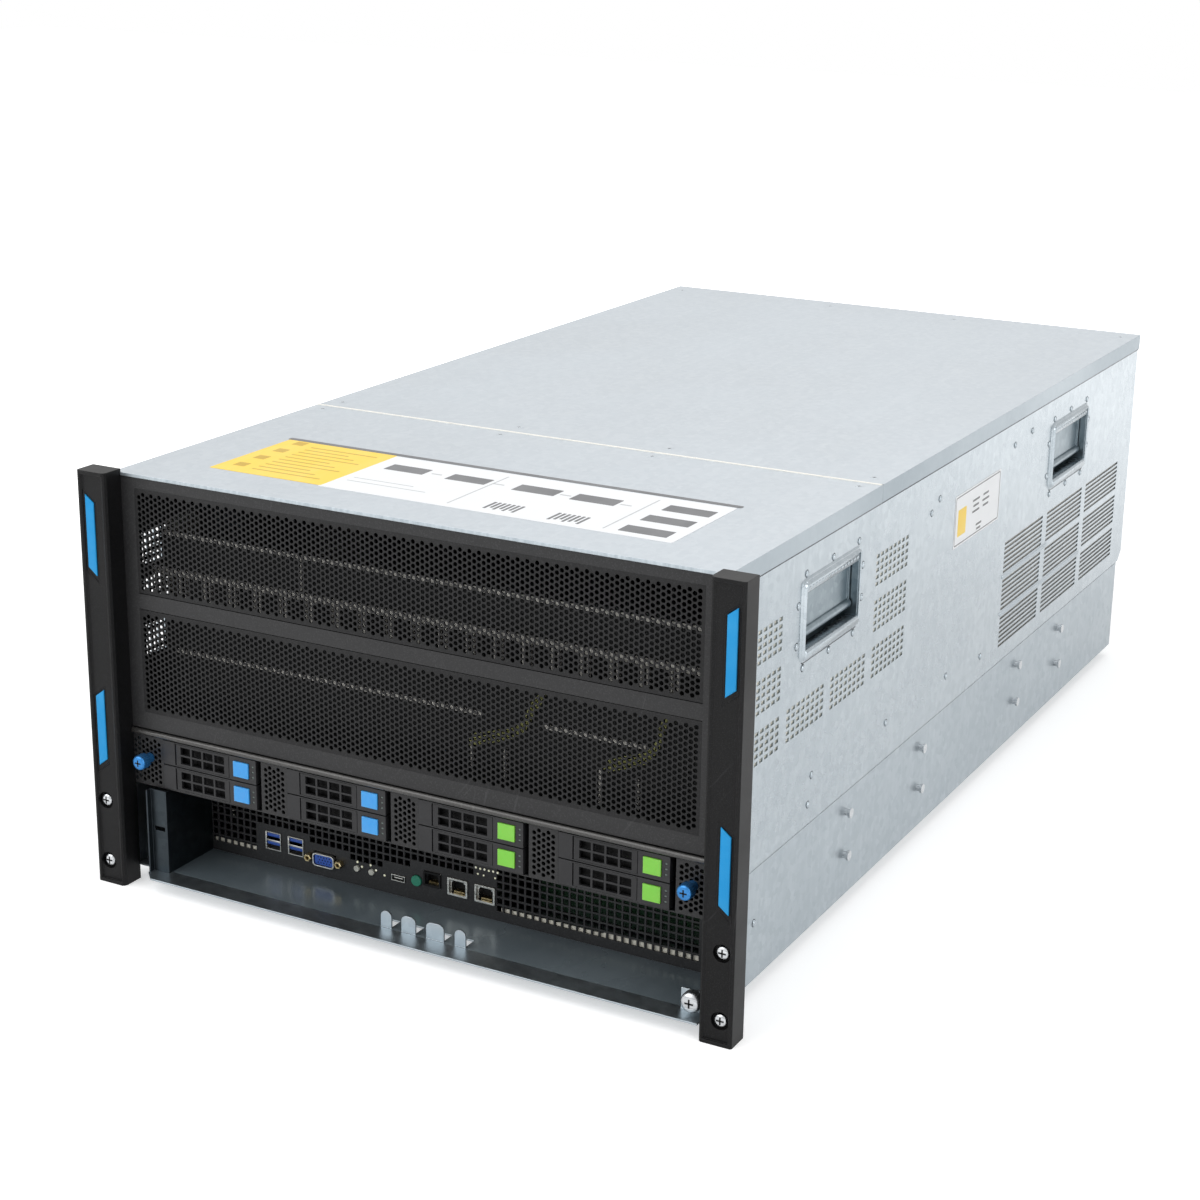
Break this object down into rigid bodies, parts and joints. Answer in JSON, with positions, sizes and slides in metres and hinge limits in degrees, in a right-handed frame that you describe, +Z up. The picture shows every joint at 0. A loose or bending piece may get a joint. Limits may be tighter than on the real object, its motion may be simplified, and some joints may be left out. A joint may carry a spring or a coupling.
{
  "type": "gpu server",
  "caption": "Rack server with a perforated accelerator section above, drive carriers and ports below, folding carry handles, rear fans and sliding power supplies.",
  "frame": {"origin": "centre of the whole machine seen from above, at the lower ends of the rack ears", "axes": "+X to the right as seen from the front, +Y from the front panel to the back, +Z up"},
  "size_m": [0.4826, 0.861, 0.292],
  "materials": {
    "galvanised_steel": "satin, spangled",
    "cover_steel": "satin",
    "dark_zinc_steel": "satin",
    "black_coated_steel": "matt powder coat",
    "black_aluminium": "matt black",
    "blue_insert": "satin",
    "bright_steel": "bright zinc",
    "blue_thumbscrew": "knurled",
    "nickel_shell": "bright",
    "heat_sink_aluminium": "satin",
    "black_plastic": "matt",
    "lever_plastic": "matt",
    "blue_latch": "satin",
    "green_latch": "satin",
    "supply_case": "satin",
    "green_button": "gloss",
    "white_button": "satin"
  },
  "bodies": {
    "chassis": {"chassis_base": "galvanised_steel", "side_walls": "galvanised_steel", "inner_frame": "dark_zinc_steel", "front_cover": "cover_steel", "rear_cover": "cover_steel", "rear_panel": "galvanised_steel", "front_panel": "black_coated_steel", "gpu_grille": "black_coated_steel", "drive_bezel": "black_coated_steel", "io_panel": "black_coated_steel", "ears": "black_aluminium", "ear_inserts": "blue_insert", "screws": "bright_steel", "thumbscrews": "blue_thumbscrew", "ports": "nickel_shell", "side_studs": "bright_steel", "handle_cups": "galvanised_steel", "gpu_block": "heat_sink_aluminium", "fan_frames": "black_plastic"},
    "sled_1": {"sled_1": "black_plastic"},
    "sled_2": {"sled_2": "black_plastic"},
    "sled_3": {"sled_3": "black_plastic"},
    "sled_4": {"sled_4": "black_plastic"},
    "sled_5": {"sled_5": "black_plastic"},
    "sled_6": {"sled_6": "black_plastic"},
    "sled_7": {"sled_7": "black_plastic"},
    "sled_8": {"sled_8": "black_plastic"},
    "lever_1": {"lever_1": "lever_plastic"},
    "lever_2": {"lever_2": "lever_plastic"},
    "lever_3": {"lever_3": "lever_plastic"},
    "lever_4": {"lever_4": "lever_plastic"},
    "lever_5": {"lever_5": "lever_plastic"},
    "lever_6": {"lever_6": "lever_plastic"},
    "lever_7": {"lever_7": "lever_plastic"},
    "lever_8": {"lever_8": "lever_plastic"},
    "latch_1": {"latch_1": "blue_latch"},
    "latch_2": {"latch_2": "blue_latch"},
    "latch_3": {"latch_3": "green_latch"},
    "latch_4": {"latch_4": "green_latch"},
    "latch_5": {"latch_5": "blue_latch"},
    "latch_6": {"latch_6": "blue_latch"},
    "latch_7": {"latch_7": "green_latch"},
    "latch_8": {"latch_8": "green_latch"},
    "handle_1": {"handle_1": "bright_steel"},
    "handle_2": {"handle_2": "bright_steel"},
    "handle_3": {"handle_3": "bright_steel"},
    "handle_4": {"handle_4": "bright_steel"},
    "psu_1": {"psu_1": "supply_case"},
    "psu_2": {"psu_2": "supply_case"},
    "psu_3": {"psu_3": "supply_case"},
    "psu_4": {"psu_4": "supply_case"},
    "rotor_1": {"rotor_1": "black_plastic"},
    "rotor_2": {"rotor_2": "black_plastic"},
    "rotor_3": {"rotor_3": "black_plastic"},
    "rotor_4": {"rotor_4": "black_plastic"},
    "rotor_5": {"rotor_5": "black_plastic"},
    "rotor_6": {"rotor_6": "black_plastic"},
    "power_button": {"power_button": "green_button"},
    "id_button": {"id_button": "white_button"},
    "reset_button": {"reset_button": "white_button"}
  },
  "joints": [
    {"name": "sled_1_slide", "type": "slide", "parent": "chassis", "child": "sled_1", "axis": [0, -1, 0], "range_m": [0, 0.1]},
    {"name": "lever_1_hinge", "type": "hinge", "parent": "sled_1", "child": "lever_1", "pos_m": [-0.1818, -0.4129, 0.09825], "axis": [0, 0, 1], "range_deg": [-45, 0]},
    {"name": "latch_1_press", "type": "slide", "parent": "sled_1", "child": "latch_1", "axis": [0, 1, 0], "range_m": [0, 0.0015], "stiffness_N_per_m": 300},
    {"name": "sled_2_slide", "type": "slide", "parent": "chassis", "child": "sled_2", "axis": [0, -1, 0], "range_m": [0, 0.1]},
    {"name": "lever_2_hinge", "type": "hinge", "parent": "sled_2", "child": "lever_2", "pos_m": [-0.0798, -0.4129, 0.09825], "axis": [0, 0, 1], "range_deg": [-45, 0]},
    {"name": "latch_2_press", "type": "slide", "parent": "sled_2", "child": "latch_2", "axis": [0, 1, 0], "range_m": [0, 0.0015], "stiffness_N_per_m": 300},
    {"name": "sled_3_slide", "type": "slide", "parent": "chassis", "child": "sled_3", "axis": [0, -1, 0], "range_m": [0, 0.1]},
    {"name": "lever_3_hinge", "type": "hinge", "parent": "sled_3", "child": "lever_3", "pos_m": [0.0222, -0.4129, 0.09825], "axis": [0, 0, 1], "range_deg": [-45, 0]},
    {"name": "latch_3_press", "type": "slide", "parent": "sled_3", "child": "latch_3", "axis": [0, 1, 0], "range_m": [0, 0.0015], "stiffness_N_per_m": 300},
    {"name": "sled_4_slide", "type": "slide", "parent": "chassis", "child": "sled_4", "axis": [0, -1, 0], "range_m": [0, 0.1]},
    {"name": "lever_4_hinge", "type": "hinge", "parent": "sled_4", "child": "lever_4", "pos_m": [0.1242, -0.4129, 0.09825], "axis": [0, 0, 1], "range_deg": [-45, 0]},
    {"name": "latch_4_press", "type": "slide", "parent": "sled_4", "child": "latch_4", "axis": [0, 1, 0], "range_m": [0, 0.0015], "stiffness_N_per_m": 300},
    {"name": "sled_5_slide", "type": "slide", "parent": "chassis", "child": "sled_5", "axis": [0, -1, 0], "range_m": [0, 0.1]},
    {"name": "lever_5_hinge", "type": "hinge", "parent": "sled_5", "child": "lever_5", "pos_m": [-0.1818, -0.4129, 0.0805], "axis": [0, 0, 1], "range_deg": [-45, 0]},
    {"name": "latch_5_press", "type": "slide", "parent": "sled_5", "child": "latch_5", "axis": [0, 1, 0], "range_m": [0, 0.0015], "stiffness_N_per_m": 300},
    {"name": "sled_6_slide", "type": "slide", "parent": "chassis", "child": "sled_6", "axis": [0, -1, 0], "range_m": [0, 0.1]},
    {"name": "lever_6_hinge", "type": "hinge", "parent": "sled_6", "child": "lever_6", "pos_m": [-0.0798, -0.4129, 0.0805], "axis": [0, 0, 1], "range_deg": [-45, 0]},
    {"name": "latch_6_press", "type": "slide", "parent": "sled_6", "child": "latch_6", "axis": [0, 1, 0], "range_m": [0, 0.0015], "stiffness_N_per_m": 300},
    {"name": "sled_7_slide", "type": "slide", "parent": "chassis", "child": "sled_7", "axis": [0, -1, 0], "range_m": [0, 0.1]},
    {"name": "lever_7_hinge", "type": "hinge", "parent": "sled_7", "child": "lever_7", "pos_m": [0.0222, -0.4129, 0.0805], "axis": [0, 0, 1], "range_deg": [-45, 0]},
    {"name": "latch_7_press", "type": "slide", "parent": "sled_7", "child": "latch_7", "axis": [0, 1, 0], "range_m": [0, 0.0015], "stiffness_N_per_m": 300},
    {"name": "sled_8_slide", "type": "slide", "parent": "chassis", "child": "sled_8", "axis": [0, -1, 0], "range_m": [0, 0.1]},
    {"name": "lever_8_hinge", "type": "hinge", "parent": "sled_8", "child": "lever_8", "pos_m": [0.1242, -0.4129, 0.0805], "axis": [0, 0, 1], "range_deg": [-45, 0]},
    {"name": "latch_8_press", "type": "slide", "parent": "sled_8", "child": "latch_8", "axis": [0, 1, 0], "range_m": [0, 0.0015], "stiffness_N_per_m": 300},
    {"name": "handle_1_hinge", "type": "hinge", "parent": "chassis", "child": "handle_1", "pos_m": [0.2163, -0.2605, 0.2455], "axis": [0, -1, 0], "range_deg": [0, 90]},
    {"name": "handle_2_hinge", "type": "hinge", "parent": "chassis", "child": "handle_2", "pos_m": [0.2163, 0.2275, 0.2455], "axis": [0, -1, 0], "range_deg": [0, 90]},
    {"name": "handle_3_hinge", "type": "hinge", "parent": "chassis", "child": "handle_3", "pos_m": [-0.2163, -0.2605, 0.2455], "axis": [0, 1, 0], "range_deg": [0, 90]},
    {"name": "handle_4_hinge", "type": "hinge", "parent": "chassis", "child": "handle_4", "pos_m": [-0.2163, 0.2275, 0.2455], "axis": [0, 1, 0], "range_deg": [0, 90]},
    {"name": "psu_1_slide", "type": "slide", "parent": "chassis", "child": "psu_1", "axis": [0, 1, 0], "range_m": [0, 0.17]},
    {"name": "psu_2_slide", "type": "slide", "parent": "chassis", "child": "psu_2", "axis": [0, 1, 0], "range_m": [0, 0.17]},
    {"name": "psu_3_slide", "type": "slide", "parent": "chassis", "child": "psu_3", "axis": [0, 1, 0], "range_m": [0, 0.17]},
    {"name": "psu_4_slide", "type": "slide", "parent": "chassis", "child": "psu_4", "axis": [0, 1, 0], "range_m": [0, 0.17]},
    {"name": "rotor_1_spin", "type": "hinge", "parent": "chassis", "child": "rotor_1", "pos_m": [-0.164, 0.3943, 0.1419], "axis": [0, 1, 0], "continuous": true},
    {"name": "rotor_2_spin", "type": "hinge", "parent": "chassis", "child": "rotor_2", "pos_m": [-0.022, 0.3943, 0.1419], "axis": [0, 1, 0], "continuous": true},
    {"name": "rotor_3_spin", "type": "hinge", "parent": "chassis", "child": "rotor_3", "pos_m": [0.12, 0.3943, 0.1419], "axis": [0, 1, 0], "continuous": true},
    {"name": "rotor_4_spin", "type": "hinge", "parent": "chassis", "child": "rotor_4", "pos_m": [-0.164, 0.3943, 0.2399], "axis": [0, 1, 0], "continuous": true},
    {"name": "rotor_5_spin", "type": "hinge", "parent": "chassis", "child": "rotor_5", "pos_m": [-0.022, 0.3943, 0.2399], "axis": [0, 1, 0], "continuous": true},
    {"name": "rotor_6_spin", "type": "hinge", "parent": "chassis", "child": "rotor_6", "pos_m": [0.12, 0.3943, 0.2399], "axis": [0, 1, 0], "continuous": true},
    {"name": "power_button_press", "type": "slide", "parent": "chassis", "child": "power_button", "axis": [0, 1, 0], "range_m": [0, 0.001], "stiffness_N_per_m": 400},
    {"name": "id_button_press", "type": "slide", "parent": "chassis", "child": "id_button", "axis": [0, 1, 0], "range_m": [0, 0.001], "stiffness_N_per_m": 400},
    {"name": "reset_button_press", "type": "slide", "parent": "chassis", "child": "reset_button", "axis": [0, 1, 0], "range_m": [0, 0.001], "stiffness_N_per_m": 400}
  ]
}
